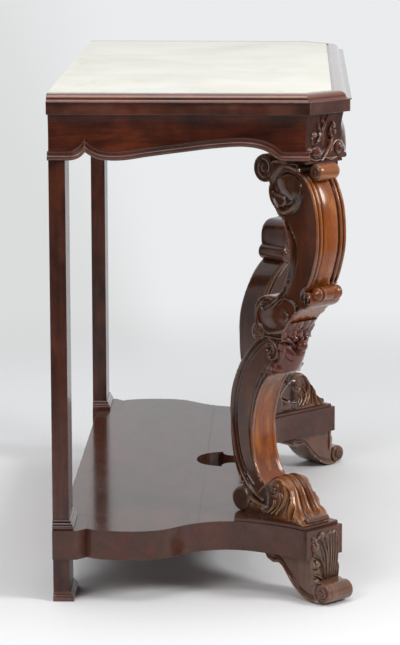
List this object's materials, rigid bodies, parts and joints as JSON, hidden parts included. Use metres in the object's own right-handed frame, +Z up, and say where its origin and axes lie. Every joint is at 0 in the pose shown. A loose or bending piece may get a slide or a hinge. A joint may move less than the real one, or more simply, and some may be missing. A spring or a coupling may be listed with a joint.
{
  "type": "pier table",
  "caption": "Wall table with a canted marble top in a moulded rim, scalloped frieze, carved scroll legs in front, flat rear posts and a serpentine lower shelf.",
  "frame": {"origin": "on the floor, midway between the left and right and between the toes and the rim's back", "axes": "+X to the right along the table's length, +Y towards the wall, +Z up"},
  "size_m": [1.1082, 0.5201, 0.875],
  "materials": {
    "marble": "honed white marble with faint grey veins",
    "mahogany": "dark figured mahogany veneer, glossy shellac",
    "carved_mahogany": "carved mahogany, warmer where the polish is worn, glossy",
    "pine": "unfinished pine, oxidised",
    "dowel_birch": "plain birch"
  },
  "bodies": {
    "carcase": {"apron_front": "mahogany", "apron_left": "mahogany", "apron_right": "mahogany", "back_rail": "pine", "bead_front": "mahogany", "bead_left": "mahogany", "bead_right": "mahogany", "corner_cap_left": "pine", "corner_cap_right": "pine", "corner_leaf_left": "carved_mahogany", "corner_leaf_right": "carved_mahogany", "cross_batten_left": "pine", "cross_batten_right": "pine", "dowels": "dowel_birch", "fascia_cant_left": "mahogany", "fascia_cant_right": "mahogany", "fascia_front": "mahogany", "fascia_left": "mahogany", "fascia_right": "mahogany", "foot_leaf_left": "carved_mahogany", "foot_leaf_right": "carved_mahogany", "frieze_cant_left": "mahogany", "frieze_cant_right": "mahogany", "front_foot_left": "carved_mahogany", "front_foot_right": "carved_mahogany", "glue_blocks": "pine", "leg_console_left": "carved_mahogany", "leg_console_right": "carved_mahogany", "leg_knuckle_leaf_left": "carved_mahogany", "leg_knuckle_leaf_right": "carved_mahogany", "leg_lower_scroll_left": "carved_mahogany", "leg_lower_scroll_right": "carved_mahogany", "leg_plate_left": "carved_mahogany", "leg_plate_right": "carved_mahogany", "leg_top_roll_left": "carved_mahogany", "leg_top_roll_right": "carved_mahogany", "leg_upper_scroll_left": "carved_mahogany", "leg_upper_scroll_right": "carved_mahogany", "marble_bed": "pine", "post_base_left": "mahogany", "post_base_right": "mahogany", "rear_foot_base_left": "mahogany", "rear_foot_base_right": "mahogany", "rear_foot_left": "mahogany", "rear_foot_right": "mahogany", "rear_post_left": "mahogany", "rear_post_right": "mahogany", "rim_cant_left": "mahogany", "rim_cant_right": "mahogany", "rim_front": "mahogany", "rim_left": "mahogany", "rim_right": "mahogany", "shelf_arm_left": "mahogany", "shelf_arm_right": "mahogany", "shelf_end_block_left": "mahogany", "shelf_end_block_right": "mahogany", "shelf_front_board_left": "mahogany", "shelf_front_board_right": "mahogany", "shelf_rear_board": "mahogany"},
    "marble": {"marble_top": "marble"}
  },
  "joints": [
    {"name": "marble_lift", "type": "slide", "parent": "carcase", "child": "marble", "axis": [0, 0, 1], "range_m": [0, 0.05]}
  ]
}
